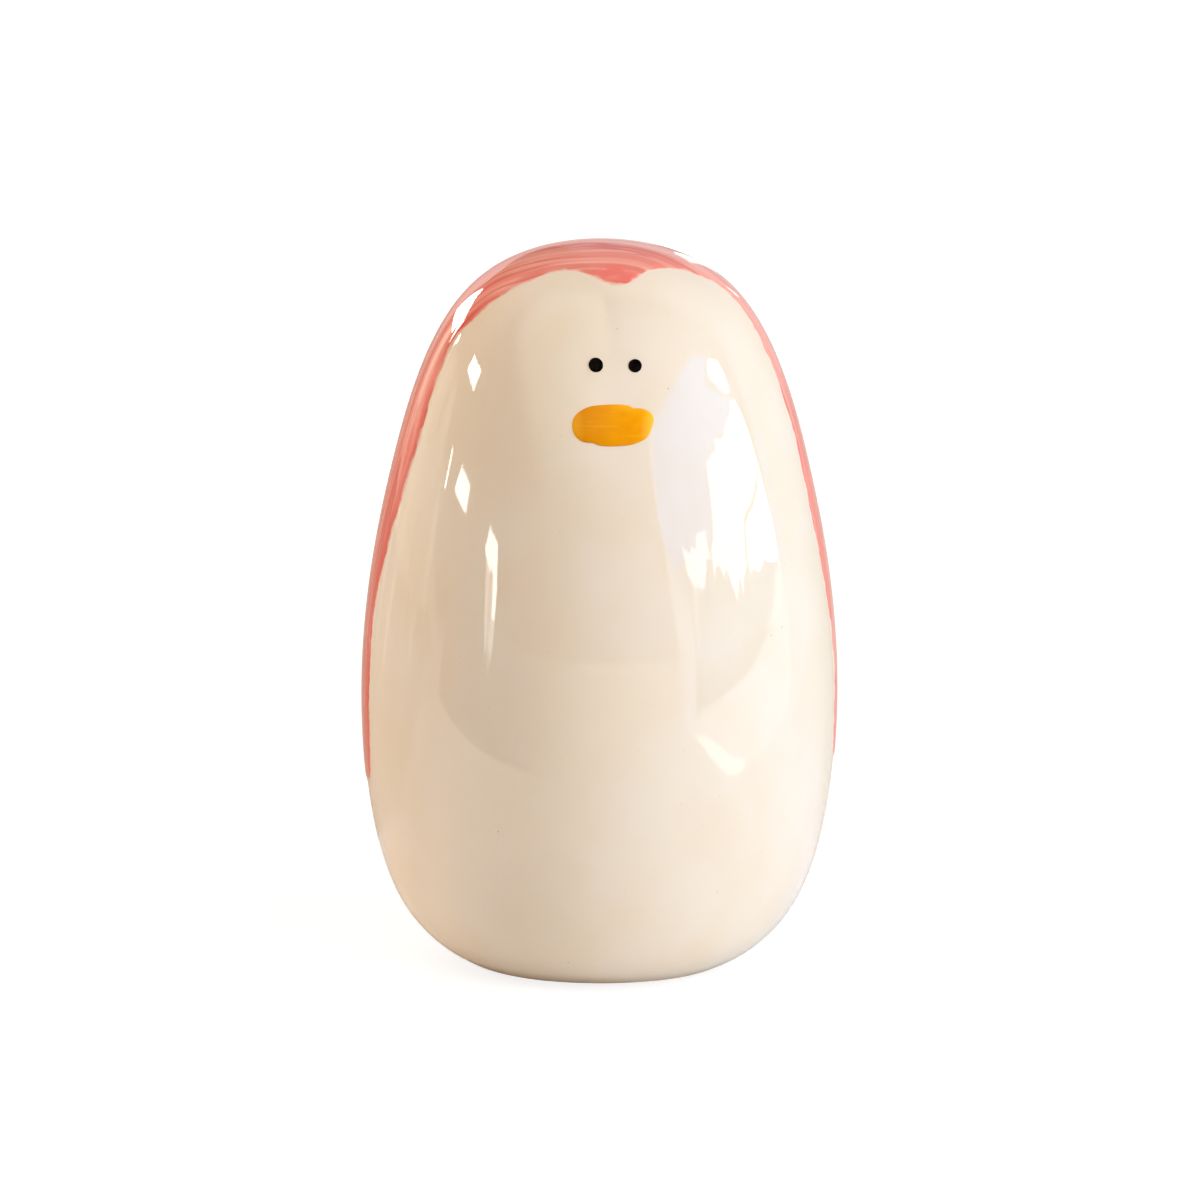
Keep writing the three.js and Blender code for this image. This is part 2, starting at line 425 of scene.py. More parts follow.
def bare_clay():
    w = Wiring("bare_clay")
    grain = w.noise(w.stretch(0.25), detail=4)
    clouds = w.noise(w.stretch(5), detail=3)
    tan = w.mix(w.level(clouds, 0.35, 0.65), CLAY_DARK, CLAY_TAN)
    colour = w.mix(w.level(grain, 0.3, 0.75), tan, CLAY_PALE)
    roughness = w.level(grain, 0.2, 0.8, 0.72, 0.92)
    return w.finish(colour, roughness, bump=w.bump(grain, 0.03, 0.6), coat=0.0, specular=0.35)


finish_piece("bare_clay_casting", casting_mesh(), bare_clay(), "casting")

# %% [markdown]
# ## The cream glaze
# The figure is dipped nearly to the foot. The glaze is a skin about a third of a millimetre thick that
# ends in a round lip just above the table. Its outline is the profile moved out, then rounded back in to
# the clay at the lip, and it is spun and given the soft swells. The lip isn't quite level, because it is
# wiped by hand.

# %% Model the cream glaze
GLAZE_THICKNESS = 0.36
LIP_STEPS = 6
LIP_REACH = 2.5  # how far up the lip's unevenness goes
LIP_WAVE = 0.12
LIP_WAVE_LENGTH = 11


def glaze_mesh():
    outside = coat_line(GLAZE_THICKNESS, GLAZE_LINE_HEIGHT)
    inside = coat_line(0, GLAZE_LINE_HEIGHT)
    middle = (outside[-1] + inside[-1]) / 2
    arm = outside[-1] - middle
    turns = [math.pi * step / LIP_STEPS for step in range(1, LIP_STEPS)]
    lip = [(middle[0] + math.cos(t) * arm[0] + math.sin(t) * arm[1],
            middle[1] + math.cos(t) * arm[1] - math.sin(t) * arm[0]) for t in turns]
    bm = bmesh.new()
    draw_line(bm, [*outside, *lip, *inside[::-3], inside[0]])
    spin(bm, ROUND)
    mesh = to_mesh(bm, "cream_glaze_coat")
    points = coordinates(mesh)
    near_lip = np.clip(1 - points[:, 2] / LIP_REACH, 0, 1)
    wave = np.maximum(waves(points * (1, 1, 0), LIP_WAVE_LENGTH), 0)
    points[:, :2] *= (1 + near_lip * wave * LIP_WAVE / FOOT_RADIUS)[:, None]
    set_coordinates(mesh, points)
    add_swells(mesh)
    return mesh


# %% [markdown]
# ## The look of the cream glaze
# The cream isn't one colour. It clouds warmer and cooler where it lies thicker and thinner, it is
# peppered with iron specks and pinholes a fifth of a millimetre across, and it turns browner towards the
# foot. The specks come from Voronoi cells: a cell shows one only where its centre lies close to the
# surface, so they scatter by themselves.

# %% Material of the cream glaze
CREAM = rgb(0.77, 0.65, 0.51)
CREAM_WARM = rgb(0.765, 0.635, 0.485)
CREAM_COOL = rgb(0.775, 0.665, 0.54)
FOOT_TAN = rgb(0.50, 0.31, 0.16)
SPECK_BROWN = rgb(0.34, 0.20, 0.11)
SPECK_FAINT = rgb(0.54, 0.40, 0.26)
GLAZE_ROUGHNESS = 0.42


def specks(w, spacing, radius, strength):
    """The share of small round specks, one in each Voronoi cell whose centre lies near the surface."""
    inputs = {"Vector": w.stretch(spacing), "Scale": 1.0, "Randomness": 1.0}
    distance = w.add("ShaderNodeTexVoronoi", inputs, feature="F1").outputs["Distance"]
    return w.level(distance, radius / spacing, 0.6 * radius / spacing, 0.0, strength)


def cream_colour(w):
    clouds = w.noise(w.stretch(11, 11, 14), detail=3)
    patches = w.noise(w.stretch(3.2, 3.2, 4), detail=2)
    colour = w.mix(w.level(clouds, 0.38, 0.66), CREAM_WARM, CREAM_COOL)
    colour = w.mix(w.level(patches, 0.3, 0.7, 0.0, 0.35), colour, CREAM)
    # Browner towards the foot, from 2.2 mm above the table down.
    thin = w.level(w.parts()[2], 2.2 * MM, 0.6 * MM)
    colour = w.over(colour, FOOT_TAN, thin, 0.5)
    dark = specks(w, 3.8, 0.11, 0.6)
    colour = w.mix(dark, colour, SPECK_BROWN)
    colour = w.mix(specks(w, 1.9, 0.09, 0.45), colour, SPECK_FAINT)
    return colour, dark


def cream_glaze():
    w = Wiring("cream_glaze")
    colour, dark = cream_colour(w)
    orange_peel = w.noise(w.stretch(2.2), detail=2)
    dimples = w.minus(orange_peel, w.times(dark, 0.6))
    return w.finish(colour, GLAZE_ROUGHNESS, coat_bump=w.bump(dimples, 0.02, 0.25))


finish_piece("cream_glaze_coat", glaze_mesh(), cream_glaze(), "glaze")

# %% [markdown]
# ## Where the mantle ends
# The mantle's edge runs over the forehead with a small peak in the middle, down both sides, and round the
# back above the foot. It is drawn here as a closed curve with soft handles through a few places on the
# glazed surface. Over the forehead a place is given as seen from above, and down the sides as an angle
# from straight ahead and a height.

# %% Draw the mantle's edge
BROW = [(-14.6, 7.6), (-10.4, 8.7), (-4, 9.3), (0.6, 12.2), (5.3, 8.6), (9.6, 6.3), (13.4, 5.4)]
CHEEK_HEIGHT = CASTING_HEIGHT - 9.6
HEM_HEIGHT = 20.5
LEFT_SIDE = [(-66.8, CHEEK_HEIGHT), (-68.6, 58), (-73.9, 47.7), (-78.4, 39), (-78.4, 31), (-78, 25),
             (-80.5, 21.5), (-87, HEM_HEIGHT)]
RIGHT_SIDE = [(69.2, CHEEK_HEIGHT), (70, 57), (69.5, 50), (71.5, 44), (74.3, 37), (75.6, 32), (75, 27),
              (76.5, 24), (82.8, 23)]
BACK = [(degrees, HEM_HEIGHT) for degrees in range(110, 251, 35)]
EDGE_DETAIL = 24
glazed_line = coat_line(GLAZE_THICKNESS, 0)
upper = np.arange(len(glazed_line)) < np.argmax(glazed_line[:, 0])


def over_plan(right, forward):
    """The place on the upper surface above a point of the plan."""
    reach = math.hypot(right, forward)
    height = np.interp(reach, glazed_line[upper, 0], glazed_line[upper, 1])
    return Vector((right, -forward, height))


def at_height(degrees, height):
    """The place on the surface at an angle from straight ahead, to the right, and a height."""
    radius = np.interp(-height, -glazed_line[:, 1], glazed_line[:, 0])
    angle = math.radians(degrees)
    return Vector((radius * math.sin(angle), -radius * math.cos(angle), height))


def closed_curve(places, detail):
    """Points along a closed curve that runs smoothly through the places."""
    curve, spline = new_spline("BEZIER", detail)
    spline.bezier_points.add(len(places) - 1)
    for point, place in zip(spline.bezier_points, places):
        point.co = place
        point.handle_left_type = point.handle_right_type = "AUTO"
    spline.use_cyclic_u = True
    return points_along(curve)


places = [over_plan(*place) for place in BROW] + [at_height(*place) for place in RIGHT_SIDE + BACK]
places += [at_height(*place) for place in LEFT_SIDE[::-1]]
mantle_edge = closed_curve(places, EDGE_DETAIL)
edge_along = np.roll(mantle_edge, -1, axis=0) - np.roll(mantle_edge, 1, axis=0)
edge_along /= np.linalg.norm(edge_along, axis=1)[:, None]


def from_edge(points):
    """How far each point lies inside the mantle's edge. Outside the edge it is below 0."""
    way = ways_out(points)
    inside = np.empty(len(points))
    for part in np.array_split(np.arange(len(points)), max(1, len(points) // AT_ONCE)):
        gap = points[part][:, None, :] - mantle_edge[None]
        nearest = np.argmin((gap ** 2).sum(-1), axis=1)
        step = gap[np.arange(len(part)), nearest]
        side = np.cross(edge_along[nearest], step)
        sign = np.sign((side * way[part]).sum(-1))
        inside[part] = sign * np.linalg.norm(step, axis=1)
    return inside


# %% [markdown]
# ## The mantle
# Brushed colour lies on the glaze as a coat with a soft shoulder: it rises from nothing at its edge to
# its full thickness within a millimetre, and stands a little proud where strokes overlap. The whole upper
# surface is spun, the part that is well outside the edge is deleted, and each point is then set at the
# height that its distance from the edge gives. Outside the edge the coat dips under the glaze, so its
# visible border is clean. Solidify closes it.

# %% Model the mantle
MANTLE_THICKNESS = 0.15
MANTLE_SHOULDER = 0.8
MANTLE_DIP = 0.1
MANTLE_MARGIN = 1.4
MANTLE_LOWEST = 15
MANTLE_DEPTH = 0.7 * GLAZE_THICKNESS  # the coat and what it sinks into the glaze
EDGE_WAVER = 0.09
EDGE_WAVER_LENGTH = 9
BRISTLE_WAVER = 0.03
BRISTLE_WAVER_LENGTH = 1.9


def edge_waver(points):
    """How far the brush strays from the drawn edge: a slow waver, and finer marks of the bristles."""
    slow = EDGE_WAVER * waves(points, EDGE_WAVER_LENGTH)
    return slow + BRISTLE_WAVER * waves(points, BRISTLE_WAVER_LENGTH)


def mantle_mesh():
    bm = bmesh.new()
    draw_line(bm, coat_line(GLAZE_THICKNESS, MANTLE_LOWEST))
    spin(bm, ROUND)
    mesh = bpy.data.meshes.new("pink_mantle")
    bm.to_mesh(mesh)
    inside = from_edge(coordinates(mesh))
    bm.verts.ensure_lookup_table()
    outside = [bm.verts[i] for i in np.flatnonzero(inside < -MANTLE_MARGIN)]
    bmesh.ops.delete(bm, geom=outside, context="VERTS")
    bm.to_mesh(mesh)
    points = coordinates(mesh)
    inside = from_edge(points) + edge_waver(points)
    rise = np.clip(inside / MANTLE_SHOULDER, -1, 1)
    height = np.where(rise > 0, MANTLE_THICKNESS * np.sin(rise * math.pi / 2), MANTLE_DIP * rise)
    set_coordinates(mesh, points + ways_out(points) * height[:, None])
    bm.clear()
    bm.from_mesh(mesh)
    bmesh.ops.solidify(bm, geom=bm.faces[:], thickness=MANTLE_DEPTH)
    bmesh.ops.recalc_face_normals(bm, faces=bm.faces)
    bm.to_mesh(mesh)
    bm.free()
    points = coordinates(mesh)
    add_measure(mesh, "inside_mm", from_edge(points) + edge_waver(points))
    add_swells(mesh)
    return mesh


# %% [markdown]
# ## The look of the brushed mantle
# The pink is a thin underglaze: where one stroke lies, the cream shines through, where strokes overlap it
# is deep coral, and each bristle leaves a streak. In front the brush was drawn from one hip over the
# crown to the other, so a stroke keeps its distance from the face. On the back it was drawn down. Noise
# that is stretched along the stroke makes the streaks, and a thin dark line where a wide noise crosses
# its middle makes the edge of a stroke. The peak on the forehead is one more dab, with its colour pooled.

# %% Material of the mantle
PINK = rgb(0.81, 0.20, 0.145)
PINK_THIN = rgb(0.85, 0.34, 0.265)
PINK_DEEP = rgb(0.66, 0.095, 0.065)
PINK_BARE = rgb(0.86, 0.53, 0.42)
PINK_DAB = rgb(0.78, 0.13, 0.095)
# Strokes down the left front: brushwork, whose deep strokes are also painted shade on that flank, away
# from the daylight. Each has its middle and half width in millimetres from the edge, strength, colour, and
# the lowest and highest place.
LEFT_STROKES_AND_SHADE = [
    (1.7, 1.0, 0.9, PINK_DEEP, 22, 77), (3.3, 0.9, 0.6, PINK_BARE, 58, 74),
    (4.4, 0.7, 0.9, PINK_DEEP, 44, 76), (3.5, 1.4, 0.8, PINK_DEEP, 14, 62),
    (6.4, 1.4, 0.5, PINK_BARE, 58, 74), (5.8, 0.4, 0.6, PINK_DEEP, 48, 76)]
# Width and length of a streak over the crown, the same on the back, and how much finer detail it has.
FINE_STREAKS = (0.45, 12), (0.6, 14), 3.0
WIDE_STREAKS = (1.6, 26), (3.0, 34), 1.5
STROKE_EDGES = (3.2, 38), (5.5, 50), 1.0
STROKE_SLANT = 0.2
CROWN_AXIS = 40.0  # the height of the axis that the strokes over the crown turn about
CROWN_RADIUS = 26.0
BACK_RADIUS = 24.0
PEAK_PLACE = (0.9, -10.6)
PEAK_REACH = (3.2, 2.1)


def streaks(w, across, along, width, length, detail):
    """Noise drawn out along the stroke: width and length are those of one streak, in millimetres."""
    place = w.joined(w.math("DIVIDE", across, width), w.math("DIVIDE", along, length))
    return w.noise(place, detail=detail, roughness=0.6)


def pink_glaze():
    w = Wiring("pink_glaze")
    inside = w.measure("inside_mm")
    x, y, z = w.parts(w.stretch(1))
    bend = w.noise(w.stretch(14), detail=1)
    over = w.plus(w.plus(y, w.times(bend, 5.0)), w.times(x, STROKE_SLANT))
    along_over = w.times(w.math("ARCTAN2", x, w.minus(z, CROWN_AXIS)), CROWN_RADIUS)
    around = w.plus(w.times(w.math("ARCTAN2", x, y), BACK_RADIUS), w.times(bend, 4.0))
    on_back = w.level(w.plus(y, w.times(bend, 6.0)), 6.0, 11.0)

    def brushed(in_front, behind, detail):
        return w.blend(on_back, streaks(w, over, along_over, *in_front, detail),
                       streaks(w, around, z, *behind, detail))

    fine = brushed(*FINE_STREAKS)
    wide = brushed(*WIDE_STREAKS)
    edges = brushed(*STROKE_EDGES)
    # How thick the colour lies, with deep streaks, bare ones and the dark edges of the strokes.
    loaded = w.plus(wide, w.level(z, 74.0, 60.0, 0.0, 0.10))
    colour = w.mix(w.level(loaded, 0.38, 0.60), PINK_THIN, PINK)
    on_crown = w.level(z, 66, 74)
    calm = w.times(on_crown, w.level(x, -7.0, -1.0, 0.0, 0.6))
    colour = w.over(colour, PINK_DEEP, w.level(fine, 0.50, 0.70, 0.0, 0.8), w.minus(1.0, calm))
    colour = w.over(colour, PINK_BARE, w.level(fine, 0.47, 0.30), w.level(on_crown, 0.0, 1.0, 0.45, 0.55))
    colour = w.over(colour, PINK_DEEP, w.near(edges, 0.5, 0.018), 0.55)
    # The strokes down the left front keep their distance from the edge. The deep ones are also painted
    # shade.
    lane = w.plus(inside, w.times(w.noise(w.stretch(4, 4, 9), detail=2), 1.6))
    broken = w.level(fine, 0.3, 0.6, 0.5, 1.0)
    left_front = w.times(w.level(x, -4.0, -9.0), w.level(y, 8.0, 4.0))
    for middle, half, share, laid, seen_from, seen_to in LEFT_STROKES_AND_SHADE:
        colour = w.over(colour, laid, w.near(lane, middle, half, half * 0.3, share), broken, left_front,
                        w.level(z, seen_from, seen_from + 8), w.level(z, seen_to, seen_to - 5))
    # The colour pools inside the edge, and the peak is a dab of its own.
    pool_here = w.noise(w.stretch(7), detail=1)
    colour = w.over(colour, PINK_DEEP, w.level(inside, 0.15, 0.5), w.level(inside, 1.9, 0.8),
                    w.level(x, 8.0, 0.0, 0.15, 1.0), w.level(pool_here, 0.40, 0.6, 0.1, 0.65))
    off_peak = [w.math("DIVIDE", w.minus(value, middle), reach)
                for value, middle, reach in zip((x, y), PEAK_PLACE, PEAK_REACH)]
    dab = w.level(w.plus(w.length(w.joined(*off_peak)), w.times(wide, 0.5)), 1.35, 0.85)
    blots = w.noise(w.stretch(1.6, 1.1, 1.1), detail=3)
    colour = w.over(colour, PINK_DAB, dab, w.math("LESS_THAN", y, -5.0),
                    w.level(blots, 0.35, 0.6, 0.55, 1.0))
    # At its fringe the coat lets the cream through.
    cream = cream_colour(w)[0]
    fringe = w.level(w.noise(w.stretch(2.2), detail=2), 0.35, 0.65, 0.16, 0.75)
    cover = w.math("DIVIDE", inside, fringe)
    colour = w.mix(w.level(cover, -0.1, 1.0), cream, colour)
    relief = w.plus(w.times(fine, 0.5), wide)
    return w.finish(colour, GLAZE_ROUGHNESS, w.bump(relief, 0.05, 0.4), w.bump(relief, 0.02, 0.2))


finish_piece("pink_mantle", mantle_mesh(), pink_glaze(), "mantle")

# %% [markdown]
# ## Dabs of thick colour
# The beak and the eyes are single touches of a loaded brush. Each stands on the glaze like a flat drop:
# round at its rim and nearly level on top. A dab starts as a sphere. Seen from the front its rim is
# pulled out to the drawn outline, and its depth is squeezed to the thickness of the paint, half of it
# sunk in the glaze.

# %% Model a dab
BEAK_THICKNESS = 0.26
EYE_THICKNESS = 0.2
BEAK_MIDDLE = (-0.28, 62.6)
BEAK_STEPS = 96
EYE_STEPS = 40
RIM_DETAIL = 12
OVAL_POINTS = 12
BEAK_RIM = [(4.3, 0.5), (4.07, 1.1), (3.46, 1.51), (2.85, 1.68), (2.16, 1.71), (1.78, 1.9), (1.4, 2.02),
            (-1.58, 2.02), (-2.65, 1.82), (-3.45, 1.44), (-4.05, 0.92), (-4.34, 0.2), (-4.34, -0.45),
            (-4.1, -1.1), (-3.5, -1.63), (-2.96, -1.8), (-2.2, -1.85), (-1.7, -2.05), (1.2, -2.1),
            (1.95, -2.0), (2.8, -1.72), (3.5, -1.33), (4.0, -0.45)]


def front_surface(x, z):
    """The glazed surface in front, at a place seen from the front, and the way out of it."""
    radius = np.interp(-z, -glazed_line[:, 1], glazed_line[:, 0])
    y = -math.sqrt(radius ** 2 - x ** 2)
    out, up = profile_out[np.argmin(np.abs(glazed_line[:, 1] - z))]
    return Vector((x, y, z)), Vector((x / radius * out, y / radius * out, up))


def rim_reach(rim):
    """How far the rim lies from the middle at any angle, from a smooth curve through the rim's points."""
    points = closed_curve([Vector((x, 0, z)) for x, z in rim], RIM_DETAIL)
    angle = np.arctan2(points[:, 2], points[:, 0])
    reach = np.hypot(points[:, 0], points[:, 2])
    order = np.argsort(angle)
    return lambda turn: np.interp(turn, angle[order], reach[order], period=2 * math.pi)


def dab_mesh(name, middle, reach, thickness, steps):
    """A flat drop of colour on the glaze. Its reach gives how far its rim lies at each angle."""
    bm = bmesh.new()
    bmesh.ops.create_uvsphere(bm, u_segments=steps, v_segments=steps // 2, radius=1)
    for corner in bm.verts:
        x, z, out = corner.co
        share, turn = math.hypot(x, z), math.atan2(z, x)
        far = share * reach(turn)
        place, way = front_surface(middle[0] + far * math.cos(turn), middle[1] + far * math.sin(turn))
        level = math.copysign(1 - (1 - abs(out)) ** 2, out)
        corner.co = place + way * thickness * level
    bmesh.ops.recalc_face_normals(bm, faces=bm.faces)
    mesh = to_mesh(bm, name)
    add_swells(mesh)
    return mesh


# %% [markdown]
# ## The look of the beak and the eyes
# The beak's orange is loaded thick on the left, where the brush came down, and turns yellow on the
# right, partly where the paint thins as the brush lifted off and partly as a painted reflection of the
# bright light on that side. Painted light also lightens its far left rim, where shade falls. The strokes
# run across it. The eyes are a dense brown-black that never quite reaches pure black.

# %% Materials of the beak and the eyes
ORANGE = rgb(0.83, 0.31, 0.0012)
ORANGE_DEEP = rgb(0.75, 0.26, 0.001)
ORANGE_PALE = rgb(0.95, 0.46, 0.02)
BROWN_BLACK = rgb(0.007, 0.004, 0.003)
NEAR_BLACK = rgb(0.002, 0.001, 0.001)
BEAK_COAT = 0.15
EYE_COAT = 0.04


def orange_glaze():
    w = Wiring("orange_glaze")
    across, _, up = w.parts()
    strokes = w.noise(w.stretch(5, 5, 0.35), detail=3)
    clouds = w.noise(w.stretch(2.6, 2.6, 1.6), detail=2)
    colour = w.mix(w.level(across, -4.0 * MM, 0.8 * MM), ORANGE_DEEP, ORANGE)
    colour = w.mix(w.level(clouds, 0.45, 0.65, 0.0, 0.6), colour, ORANGE_DEEP)
    # Paler to the right and at the upper right: thinner paint, and also a painted reflection of the light
    # there.
    upper_right = w.times(w.level(up, 63.4 * MM, 64.8 * MM, 0.0, 0.5), w.level(across, -1.5 * MM, 1.0 * MM))
    thin = w.math("MAXIMUM", w.level(across, 2.4 * MM, 4.0 * MM), upper_right)
    colour = w.mix(thin, colour, ORANGE_PALE)
    # Painted light: the far left rim is made paler where shade falls.
    colour = w.mix(w.level(across, -3.3 * MM, -4.3 * MM, 0.0, 0.5), colour, ORANGE_PALE)
    colour = w.mix(w.level(strokes, 0.45, 0.3, 0.0, 0.25), colour, ORANGE_PALE)
    return w.finish(colour, 0.4, coat_bump=w.bump(strokes, 0.02, 0.3), coat=BEAK_COAT)


def black_glaze():
    w = Wiring("black_glaze")
    mottle = w.noise(w.stretch(0.3), detail=2)
    colour = w.mix(w.level(mottle, 0.4, 0.7), NEAR_BLACK, BROWN_BLACK)
    return w.finish(colour, 0.35, coat_bump=w.bump(mottle, 0.01, 0.3), coat=EYE_COAT)


beak_mesh = dab_mesh("beak_dab", BEAK_MIDDLE, rim_reach(BEAK_RIM), BEAK_THICKNESS, BEAK_STEPS)
finish_piece("beak_dab", beak_mesh, orange_glaze(), "beak")

# Each eye's middle, half width and half height.
EYES = {"left_eye": ((-2.02, 68.69), 0.76, 0.73), "right_eye": ((2.14, 68.59), 0.72, 0.67)}
eye_finish = black_glaze()
for node, (middle, wide, tall) in EYES.items():
    turns = np.linspace(0, 2 * math.pi, OVAL_POINTS, endpoint=False)
    oval = [(wide * math.cos(turn), tall * math.sin(turn)) for turn in turns]
    mesh = dab_mesh(node + "_dot", middle, rim_reach(oval), EYE_THICKNESS, EYE_STEPS)
    finish_piece(node + "_dot", mesh, eye_finish, node)

# %% [markdown]
# ## Floor
# The floor is one plain sheet of pale paper. The camera sees it nearly white, with a soft shadow of the
# figure on it. The glaze mirrors it pale, with painted reflections in it: a glow that only mirror images
# show, tinted by direction and faded out near the foot as a painted shadow.

# %% Lay the floor
FLOOR_SIZE = 8.0
FLOOR_PAPER = rgb(0.84, 0.84, 0.84)
FLOOR_PALE = rgb(0.88, 0.88, 0.88)
FLOOR_GLOW = 1.3
SEEN_SHARE = 0.62  # how much of the white glow the camera sees in the paper
# Painted reflections: the glow that only the glaze sees in the paper, by direction.
MIRRORED_LEFT = rgb(0.16, 0.08, 0.02)
MIRRORED_NEAR_LEFT = rgb(0.95, 0.62, 0.40)
MIRRORED_FRONT = rgb(0.45, 0.32, 0.26)
MIRRORED_RIGHT = rgb(0.36, 0.34, 0.62)
MIRRORED_BEHIND = rgb(0.0, 0.0, 0.0)
FOOT_SHADOW = (14 * MM, 60 * MM)


def floor_paper():
    w = Wiring("floor_paper")
    fibres = w.noise(w.stretch(3), detail=3)
    w.finish(w.mix(w.level(fibres, 0.2, 0.8), FLOOR_PAPER, FLOOR_PALE), 0.9, coat=0.0, specular=0.1)
    seen = w.add("ShaderNodeLightPath").outputs
    share = w.times(seen["Is Camera Ray"], SEEN_SHARE)
    paper = w.either(share, w.tree.nodes["Principled BSDF"].outputs[0], w.light(WHITE, FLOOR_GLOW))
    turn = w.turn()
    # Painted reflections: a glow in the paper that only the glaze sees, tinted by direction and faded out
    # near the foot as a painted shadow.
    painted_reflection = w.mix(w.level(turn, -1.55, -1.3), MIRRORED_LEFT, MIRRORED_NEAR_LEFT)
    painted_reflection = w.mix(w.level(turn, -0.9, -0.2), painted_reflection, MIRRORED_FRONT)
    painted_reflection = w.mix(w.level(turn, 0.56, 0.6), painted_reflection, MIRRORED_RIGHT)
    painted_reflection = w.mix(w.level(w.math("ABSOLUTE", turn), 1.9, 2.4), painted_reflection, MIRRORED_BEHIND)
    mirrored = w.math("MAXIMUM", seen["Is Glossy Ray"], seen["Is Transmission Ray"])
    mirrored = w.times(mirrored, w.level(w.length(w.place), *FOOT_SHADOW))
    return w.show(w.add("ShaderNodeAddShader", {0: paper, 1: w.light(painted_reflection, mirrored)}).outputs[0])


bm = bmesh.new()
bmesh.ops.create_grid(bm, x_segments=1, y_segments=1, size=FLOOR_SIZE / 2)
floor_mesh = to_mesh(bm, "floor")
floor_mesh.materials.append(floor_paper())
put("floor", floor_mesh)

# %% [markdown]
# ## Soft lamps
# Five broad lamps shade the form. Daylight comes in low from the right front, with a cooler edge further
# round. A warm ceiling light fills from above, and another from the left keeps that flank from going
# dark. A last one lights the back, for the views from behind. None of them is seen mirrored: that is left
# to the screens in a later step.


# %% Hang the lamps
def way_to(azimuth, elevation):
    """The way to a lamp: the azimuth is from straight ahead of the face, to its right in the picture."""
    turn, rise = math.radians(azimuth), math.radians(elevation)
    return Vector((math.sin(turn) * math.cos(rise), -math.cos(turn) * math.cos(rise), math.sin(rise)))


def soft_lamp(name, azimuth, elevation, spread, colour, shadow=True):
    """A broad far lamp: a white surface that faces it shows the lamp's colour."""
    data = bpy.data.lights.new(name, "SUN")
    data.energy = math.pi
    data.color = colour
    data.angle = math.radians(spread)
    data.use_shadow = shadow
    facing = way_to(azimuth, elevation).to_track_quat("Z", "Y").to_matrix().to_4x4()
    put(name, data, facing).visible_glossy = False


soft_lamp("daylight", 50, 10, 40, (0.715, 0.80, 0.885))
soft_lamp("daylight_edge", 75, 25, 25, (0.20, 0.28, 0.36))
soft_lamp("ceiling_light", -10, 70, 60, (0.57, 0.48, 0.40))
soft_lamp("left_fill", -115, 10, 30, (0.70, 0.62, 0.535), shadow=False)
soft_lamp("back_fill", 180, 6, 40, (0.35, 0.35, 0.35), shadow=False)

# %% [markdown]
# ## The surroundings
# The camera, the glaze and anything clear see white round the scene. To everything else it gives a weak
# even light.

# %% Set the surroundings
AMBIENT = 0.02


def studio_world():
    w = Wiring("studio", "worlds")
    seen = w.add("ShaderNodeLightPath").outputs
    share = w.math("MAXIMUM", seen["Is Camera Ray"], seen["Is Glossy Ray"])
    share = w.math("MAXIMUM", share, seen["Is Transmission Ray"])
    dim, white = (w.add("ShaderNodeBackground", {"Color": WHITE, "Strength": strength}).outputs[0]
                  for strength in (AMBIENT, 1.0))
    return w.show(w.either(share, dim, white))


bpy.context.scene.world = studio_world()

# %% [markdown]
# ## What the glaze mirrors
# A gloss glaze looks wet only when it mirrors something with edges. So screens that only the glaze sees
# stand round the figure: a ball with a dim room on it, a tall bright window on the right, and slits of
# light on the left. The place and the corners of a screen are compass directions and heights in degrees,
# as the glaze mirrors them. Below the horizon it mirrors the floor, so what belongs there lies flat on it,
# with its corners in millimetres.


# %% Hang the screens
def screen_outline(azimuth, corners):
    """Corners (azimuth, elevation) as places on a flat screen one unit away that faces the figure."""
    places = []
    for corner_azimuth, corner_elevation in corners:
        aside = math.radians(corner_azimuth - azimuth)
        places.append((math.tan(aside), math.tan(math.radians(corner_elevation)) / math.cos(aside)))
    return places


def outline_mesh(name, places):
    """One flat face with an outline of (x, y) places."""
    bm = bmesh.new()
    bm.faces.new([bm.verts.new((x, y, 0)) for x, y in places])
    return to_mesh(bm, name)


def hang(name, mesh, material, place):
    """Puts up a piece of the stage that only mirror images show."""
    mesh.materials.append(material)
    piece = put(name, mesh, place)
    piece.visible_camera = piece.visible_diffuse = piece.visible_transmission = piece.visible_shadow = False


MIRROR_MIDDLE = Vector((0, 0, 0.045))


def glow(name, colour):
    w = Wiring(name)
    return w.show(w.light(colour))


def screen(name, azimuth, distance, corners, colour):
    """A flat upright screen. Its own X runs to greater azimuths and its Y runs up."""
    mesh = outline_mesh(name, [(x * distance, y * distance) for x, y in screen_outline(azimuth, corners)])
    ahead, along = way_to(azimuth, 0), way_to(azimuth + 90, 0)
    turn = Matrix((along, (0, 0, 1), ahead)).transposed().to_4x4()
    hang(name, mesh, glow(name, colour), Matrix.Translation(ahead * distance + MIRROR_MIDDLE) @ turn)


# %% [markdown]
# ## The dim room
# One big ball round the scene carries what fills most of the glaze: brown and nearly dark in front, a lit
# wall high up, a pale strip with upright folds behind on the left, daylight round the right, and a white
# backdrop behind, up to a low height. Each is laid over the one before, and fades in between two compass
# directions or two heights.

# %% Paint the room on a ball
ROOM_SIZE = 3.0
DEGREES = 180 / math.pi
ROOM_DARK = rgb(0.12, 0.05, 0.03)
ROOM_BROWN = rgb(0.65, 0.28, 0.10)
ROOM_DIM = rgb(0.37, 0.25, 0.34)
CEILING = rgb(0.10, 0.08, 0.12)
CEILING_BEHIND = rgb(1.25, 1.1, 0.95)
LIT_WALL = rgb(2.0, 1.85, 1.55)
PALE_STRIP = rgb(1.5, 1.33, 1.06)
BESIDE_THE_LIGHT = rgb(0.67, 1.25, 2.0)
DAYLIT_SIDE = rgb(1.0, 1.15, 1.4)
PALE_SIDE = rgb(1.0, 0.86, 0.82)
BACKDROP_WHITE = rgb(0.85, 0.85, 0.87)
BACKDROP_LOW = rgb(0.80, 0.66, 0.62)


